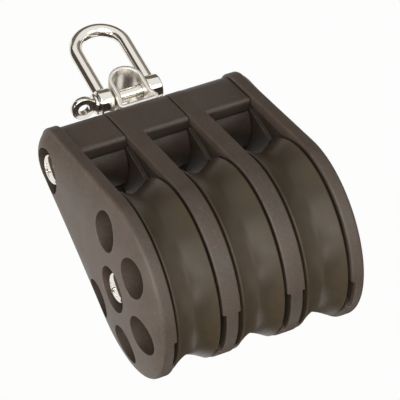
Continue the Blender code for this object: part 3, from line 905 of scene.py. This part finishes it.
def bow(sizes):
    """The bow with a rounded eye forged on each leg."""
    obj = wire("shackle_bow_forged", bow_path(sizes), sizes.wire_r)
    half = BOW_HALF - sizes.eye_w / 2
    edge_r = EYE_R - EYE_ROUND
    eyes = []
    for side in (-1, 1):
        low, high = side * half - sizes.eye_w / 2, side * half + sizes.eye_w / 2
        profile = [(0.0, low)]
        profile += [(r, x) for x, r in arc((low + EYE_ROUND, edge_r), EYE_ROUND, 180, 90, 7)]
        profile += [(r, x) for x, r in arc((high - EYE_ROUND, edge_r), EYE_ROUND, 90, 0, 7)]
        profile += [(0.0, high)]
        eye = turned(f"eye_{side}", profile, 72, False)
        eye.data.transform(Matrix.Translation((0, 0, PIN_Z)))
        eyes.append(eye)
    combine(obj, eyes, "UNION")
    return combine(obj, [rod("bow_bore", sizes.pin_r + GAP, -FAR, FAR, (0, 0, PIN_Z))])


def pin(sizes):
    """The pin with its collar and its flat thumb lug, which has rounded edges and a hole."""
    low, high = PIN_LOW.x, PIN_HIGH.x
    collar_x = -BOW_HALF - GAP
    collar_end = collar_x - sizes.collar_w
    r, collar_r = sizes.pin_r, sizes.collar_r
    profile = [(0.0, high), (r - PIN_ROUND, high), (r, high - PIN_ROUND), (r, collar_x)]
    profile += [(collar_r - PIN_ROUND, collar_x), (collar_r, collar_x - PIN_ROUND)]
    profile += [(collar_r, collar_end + PIN_ROUND), (collar_r - PIN_ROUND, collar_end)]
    profile += [(0.0, collar_end)]
    obj = turned("shackle_pin_forged", profile, 64, False)
    centre = low + LUG_R
    neck = collar_x - LUG_CLEAR - LUG_NECK_R - centre
    outline = pear(0, LUG_R, neck, LUG_NECK_R, low_count=49, high_count=17, side_count=3)
    flat_half = sizes.lug_t / 2 - LUG_ROUND
    rings = []
    for i in range(LUG_STEPS + 1):
        angle = math.pi * i / LUG_STEPS - math.pi / 2
        face = (2 * i > LUG_STEPS) - (2 * i < LUG_STEPS)
        share = 1 - LUG_ROUND * (1 - math.cos(angle)) / LUG_R
        shrunk = [(a * share, b * share) for a, b in outline]
        rings.append((shrunk, flat_half * face + LUG_ROUND * math.sin(angle)))
    lug = loft("lug", rings)
    lug.data.transform(Matrix(((0, 0, 1, centre), (0, 1, 0, 0), (1, 0, 0, 0), (0, 0, 0, 1))))
    combine(lug, [rod("lug_eye", sizes.lug_hole_r, -FAR, FAR, (centre, 0, 0), "Z", 48)])
    combine(obj, [lug], "UNION")
    obj.data.transform(Matrix.Translation((0, 0, PIN_Z)) @ Matrix.Rotation(LUG_TURN, 4, "X"))
    return obj


def strap_line(sizes, inset):
    """A line of the strap's section: flat base, flared feet, legs and arch."""
    base = STRAP_LOW.z
    rise = STRAP_HIGH.z - base
    flare = []
    for i in range(1, FLARE_STEPS + 1):
        rest = 1 - i / FLARE_STEPS
        width = sizes.leg_half + (sizes.foot_half - sizes.leg_half) * rest**FLARE_POWER
        flare.append((width, base + sizes.flare_h * i / FLARE_STEPS))
    upper = flare[FLARE_FROM:]
    right = fillet((0, base), (sizes.foot_half, base), upper[0], STRAP_BEND, 9) + upper
    arch = arc((0, base + rise - sizes.leg_half), sizes.leg_half, 0, 180, 41)
    left = [(-x, z) for x, z in reversed(right)]
    line = right + arch + left
    if not inset:
        return line
    moved = []
    for i, (x, z) in enumerate(line):
        (ax, az), (bx, bz) = line[i - 1], line[(i + 1) % len(line)]
        dx, dz = bx - ax, bz - az
        size = math.hypot(dx, dz)
        moved.append((x - dz / size * inset, z + dx / size * inset))
    return moved


def strap(sizes):
    """A strip bent to a closed strap, with its edges rounded."""
    half = (STRAP_HIGH.y - STRAP_LOW.y) / 2
    cut = CORNER_CUT * STRIP_ROUND
    section = [(0.0, half - STRIP_ROUND), (cut, half - cut), (STRIP_ROUND, half)]
    section += [(sizes.strip - STRIP_ROUND, half), (sizes.strip - cut, half - cut)]
    section += [(sizes.strip, half - STRIP_ROUND)]
    section += [(inset, -y) for inset, y in reversed(section)]
    bm = bmesh.new()
    loops = [[bm.verts.new((x, y, z)) for x, z in strap_line(sizes, inset)] for inset, y in section]
    for k in range(len(loops)):
        bridge(bm, loops[k], loops[(k + 1) % len(loops)])
    obj = mesh_object("head_strap_bent", bm)
    across = rod("pin_bore", sizes.pin_r + GAP, -BOW_HALF, BOW_HALF, (0, 0, PIN_Z))
    low, high = STRAP_LOW.z - MM, STRAP_LOW.z + BASE_BORE_H
    return combine(obj, [across, rod("stem_bore", STEM_BORE_R, low, high, (0, 0, 0), "Z", 48)])


def cross_recess():
    """The tapered cross that a screwdriver fits, open upwards at height 0."""
    arms = []
    corners = ((-1, -1), (1, -1), (1, 1), (-1, 1))
    for turn in (0, math.pi / 2):
        bm = bmesh.new()
        rows = []
        for z, long, wide in RECESS_ROWS:
            rows.append([bm.verts.new((z, a * long, b * wide)) for a, b in corners])
        bm.faces.new(rows[0])
        bm.faces.new(rows[1])
        bridge(bm, rows[0], rows[1])
        arm = mesh_object(f"arm_{len(arms)}", bm)
        arm.data.transform(Matrix.Rotation(turn, 4, "X"))
        arms.append(arm)
    return arms


def pan_head_screw(name, sizes, side, height, turn):
    """A pan-head screw with a rounded head and a cross recess."""
    seat, top = SCREW_TOP - sizes.head_h, SCREW_TOP
    profile = [(0.0, top)]
    for i in range(1, CROWN_STEPS + 1):
        angle = math.pi / 2 * i / CROWN_STEPS
        radius = SCREW_HEAD_R * math.sin(angle) ** CROWN_WIDEN
        fall = sizes.head_h * CROWN_H * (1 - math.cos(angle) ** CROWN_FALL)
        profile.append((radius, top - fall))
    profile += [(SCREW_HEAD_R, seat + HEAD_CHAMFER), (SCREW_HEAD_R - HEAD_CHAMFER, seat)]
    profile += [(SHANK_R, seat), (SHANK_R, SCREW_END), (0.0, SCREW_END)]
    obj = turned(name, profile, 64, False)
    arms = cross_recess()
    for arm in arms:
        arm.data.transform(Matrix.Translation((top, 0, 0)))
    combine(obj, arms)
    if side < 0:
        obj.data.transform(Matrix.Rotation(math.pi, 4, "Z"))
    obj.data.transform(Matrix.Translation((0, 0, height)) @ Matrix.Rotation(turn, 4, "X"))
    return obj


class ShackleOperator(bpy.types.Operator):
    """Model the shackle's bow and its pin"""

    bl_idname = "triple_block.shackle"
    bl_label = "Shackle"

    def execute(self, context):
        sizes = context.scene.block_steel
        steel = finish("stainless_steel_polished")
        finish_piece(bow(sizes), "shackle_bow", steel, STEEL_SHARP)
        finish_piece(pin(sizes), "shackle_pin", steel, STEEL_SHARP)
        return {"FINISHED"}


class StrapOperator(bpy.types.Operator):
    """Model the strap that the block swivels under"""

    bl_idname = "triple_block.strap"
    bl_label = "Strap"

    def execute(self, context):
        sizes = context.scene.block_steel
        steel = finish("stainless_strip_satin")
        finish_piece(strap(sizes), "head_strap", steel, STRIP_SHARP)
        return {"FINISHED"}


class ScrewOperator(bpy.types.Operator):
    """Model the four pan-head screws"""

    bl_idname = "triple_block.screws"
    bl_label = "Screws"

    def execute(self, context):
        sizes = context.scene.block_steel
        steel = finish("stainless_steel_polished")
        for key, degrees in SCREW_TURNS.items():
            place, end = key.split("_")
            height = AXLE_Z if place == "axle" else BOLT_Z
            node = f"{place}_screw_{end}"
            side = -1 if end == "left" else 1
            obj = pan_head_screw(node + "_turned", sizes, side, height, math.radians(degrees))
            finish_piece(obj, node, steel, STEEL_SHARP)
        return {"FINISHED"}


HIDDEN_LOOKS = {
    "stainless_steel_polished": ("axle_tube", "head_tube", "swivel_stem", "swivel_collar"),
    "acetal_natural_turned": ("sheave_bush_left", "sheave_bush_middle", "sheave_bush_right"),
}


class HiddenOperator(bpy.types.Operator):
    """Finish the tubes, bushes, stem and collar that keep their solid shape"""

    bl_idname = "triple_block.hidden_pieces"
    bl_label = "Hidden Pieces"

    def execute(self, context):
        for look, nodes in HIDDEN_LOOKS.items():
            for node in nodes:
                obj = frame["nodes"][node]
                obj.data.materials.clear()
                obj.data.materials.append(finish(look))
                obj.data.shade_smooth()
                obj.data.set_sharp_from_angle(angle=math.radians(HIDDEN_SHARP))
        return {"FINISHED"}


# The studio

# The photograph's camera: its right, up and back, its place from the axle, lens and sensor in mm
CAMERA_AXES = (
    (0.90034, -0.07815, -0.42811),
    (0.28811, -0.63024, 0.72096),
    (-0.32616, -0.77245, -0.54492),
)
CAMERA_FROM_AXLE = (-0.29671, -0.71001, -0.47603)
CAMERA_LENS = 231.11
CAMERA_SENSOR = 36.0
CAMERA_NEAR = 0.05

# The middle of the block, and the floor's depth below the axle and its half width
STAGE_CENTRE = Vector((0, 0, AXLE_Z + 0.03))
FLOOR_DROP = 1.5
FLOOR_HALF = 30.0

# What the surround gives as light, and what the floor shows where it is looked at
SURROUND_TONE = (0.98, 0.98, 0.975, 1.0)
SURROUND_LIGHT = 0.28
FLOOR_GLOW = 0.77

# Lamps: place to the right, up and back from the block as the camera sees it, size and watts
LAMPS = (
    ("front_lamp", (-0.05, 0.15, 1.22), 0.9, 5.4),
    ("low_lamp", (0.15, -0.80, 0.75), 0.7, 3.8),
    ("small_lamp", (-0.28, -0.38, 1.20), 0.12, 1.2),
    ("left_lamp", (-0.80, -0.25, 0.45), 0.5, 9.0),
    ("right_lamp", (0.80, 0.10, 0.80), 0.6, 2.0),
)

# Cards: place of the centre and half sizes in the same three directions, and tone
CARDS = (
    ("left_card", (-0.70, -0.07, 0.30), (0.0, 0.73, 0.66), "#6E6156"),
    ("lower_card", (0.0, -0.75, 0.35), (0.75, 0.0, 0.45), "#5A4D43"),
    ("under_card", (-0.30, -0.75, -0.42), (0.45, 0.0, 0.33), "#5A4D43"),
    ("upper_card", (-0.30, 0.75, -0.38), (0.45, 0.0, 0.40), "#7A6F65"),
    ("corner_card", (0.45, 0.75, -0.38), (0.30, 0.0, 0.40), "#A89E94"),
    ("right_card", (0.75, 0.0, -0.45), (0.0, 0.8, 0.30), "#8A7F75"),
    ("back_card", (0.42, -0.40, -0.75), (0.40, 0.28, 0.0), "#5A4D43"),
)


def camera_spot(aim):
    """A place given by how far it lies to the camera's right, up and back from the block."""
    offsets = (Vector(axis) * share for share, axis in zip(aim, CAMERA_AXES))
    return STAGE_CENTRE + sum(offsets, Vector())


def soft_lamp(name, aim, size, watts):
    """A square studio lamp that faces the block, placed as seen from the camera."""
    lamp = bpy.data.lights.new(name, "AREA")
    lamp.size = size
    lamp.energy = watts
    obj = bpy.data.objects.new(name, lamp)
    bpy.context.scene.collection.objects.link(obj)
    obj.location = camera_spot(aim)
    obj.rotation_euler = (STAGE_CENTRE - obj.location).to_track_quat("-Z", "Y").to_euler()


def white_where_seen(tree, lit, seen):
    """The share of light: one value for what lights the block, another where rays look."""
    path = add(tree, "ShaderNodeLightPath").outputs
    direct = larger(tree, path["Is Camera Ray"], path["Is Glossy Ray"])
    looked = larger(tree, direct, path["Is Transmission Ray"])
    return remap(tree, looked, lit, seen, 0.0, 1.0)


def studio_world():
    """A white surround that shows behind the block and in its polished steel."""
    world = bpy.data.worlds.new("studio_white")
    bpy.context.scene.world = world
    world.use_nodes = True
    tree = world.node_tree
    tree.nodes.clear()
    back = add(
        tree, "ShaderNodeBackground",
        {"Color": SURROUND_TONE, "Strength": white_where_seen(tree, SURROUND_LIGHT, 1.0)},
    )
    add(tree, "ShaderNodeOutputWorld", {"Surface": back.outputs[0]})


def studio_floor(colours):
    """A pale floor far below the hanging block."""
    bm = bmesh.new()
    bmesh.ops.create_grid(bm, x_segments=1, y_segments=1, size=FLOOR_HALF)
    bm.transform(Matrix.Translation((0, 0, AXLE_Z - FLOOR_DROP)))
    obj = mesh_object("studio_floor", bm)
    material, tree, place = new_material("paper_floor_matt")
    tone = mottled(tree, noise(tree, place, 40 * MM), colours.floor, 0.99, 1.0)
    shade(tree, {
        "Base Color": tone,
        "Roughness": 0.9,
        "Emission Color": tone,
        "Emission Strength": white_where_seen(tree, 0.0, FLOOR_GLOW),
    })
    obj.data.materials.append(material)


def studio_card(name, aim, reach, tone):
    """A felt card that only reflections show, as a photographer sets to draw dark bands on
    polished steel."""
    first, second = [i for i in range(3) if reach[i]]
    bm = bmesh.new()
    corners = []
    for a, b in ((-1, -1), (1, -1), (1, 1), (-1, 1)):
        spot = list(aim)
        spot[first] += a * reach[first]
        spot[second] += b * reach[second]
        corners.append(bm.verts.new(camera_spot(spot)))
    bm.faces.new(corners)
    obj = mesh_object(name, bm)
    obj.visible_camera = False
    obj.visible_diffuse = False
    obj.visible_shadow = False
    obj.data.materials.append(card_felt(name, linear(tone)))


def card_felt(name, tone):
    """Wool felt on a studio card: matt, with a faint nap."""
    material, tree, place = new_material(name + "_felt")
    wool = mottled(tree, noise(tree, place, 12 * MM), tone, 0.9, 1.1)
    shade(tree, {"Base Color": wool, "Roughness": 0.95})
    return material


def studio_camera():
    """The camera of the photograph: it looks up at the block from its front left."""
    camera = bpy.data.cameras.new("camera")
    camera.lens = CAMERA_LENS
    camera.sensor_width = CAMERA_SENSOR
    camera.clip_start = CAMERA_NEAR
    obj = bpy.data.objects.new("camera", camera)
    bpy.context.scene.collection.objects.link(obj)
    right, up, back = CAMERA_AXES
    x, y, z = CAMERA_FROM_AXLE
    obj.matrix_world = Matrix((
        (right[0], up[0], back[0], x),
        (right[1], up[1], back[1], y),
        (right[2], up[2], back[2], z + AXLE_Z),
        (0, 0, 0, 1),
    ))
    bpy.context.scene.camera = obj


class StudioOperator(bpy.types.Operator):
    """Set up the surround, the floor, the lamps, the cards and the camera"""

    bl_idname = "triple_block.studio"
    bl_label = "Studio"

    def execute(self, context):
        context.scene.view_settings.view_transform = "Standard"
        studio_world()
        studio_floor(context.scene.block_colours)
        for lamp in LAMPS:
            soft_lamp(*lamp)
        for card in CARDS:
            studio_card(*card)
        studio_camera()
        return {"FINISHED"}


class BlockPanel(bpy.types.Panel):
    """Lists the block's pieces and their sizes"""

    bl_idname = "VIEW3D_PT_triple_block"
    bl_label = "Triple Block"
    bl_space_type = "VIEW_3D"
    bl_region_type = "UI"
    bl_category = "Triple Block"

    def draw(self, context):
        for operator in OPERATORS:
            self.layout.operator(operator.bl_idname)
        for group in GROUPS:
            box = self.layout.box()
            values = getattr(context.scene, group)
            for key in values.bl_rna.properties.keys():
                if key not in ("rna_type", "name"):
                    box.prop(values, key)


GROUPS = {
    "block_body": BodySizes,
    "block_sheave": SheaveSizes,
    "block_steel": SteelSizes,
    "block_colours": FinishColours,
}
OPERATORS = (
    CheekOperator,
    DividerOperator,
    SheaveOperator,
    ShackleOperator,
    StrapOperator,
    ScrewOperator,
    HiddenOperator,
    StudioOperator,
)


def register():
    for cls in (*GROUPS.values(), *OPERATORS, BlockPanel):
        bpy.utils.register_class(cls)
    for name, cls in GROUPS.items():
        setattr(bpy.types.Scene, name, bpy.props.PointerProperty(type=cls))


def unregister():
    for name in GROUPS:
        delattr(bpy.types.Scene, name)
    for cls in reversed((*GROUPS.values(), *OPERATORS, BlockPanel)):
        bpy.utils.unregister_class(cls)


def main():
    register()
    for operator in OPERATORS:
        group, name = operator.bl_idname.split(".")
        getattr(getattr(bpy.ops, group), name)()


if __name__ == "__main__":
    main()
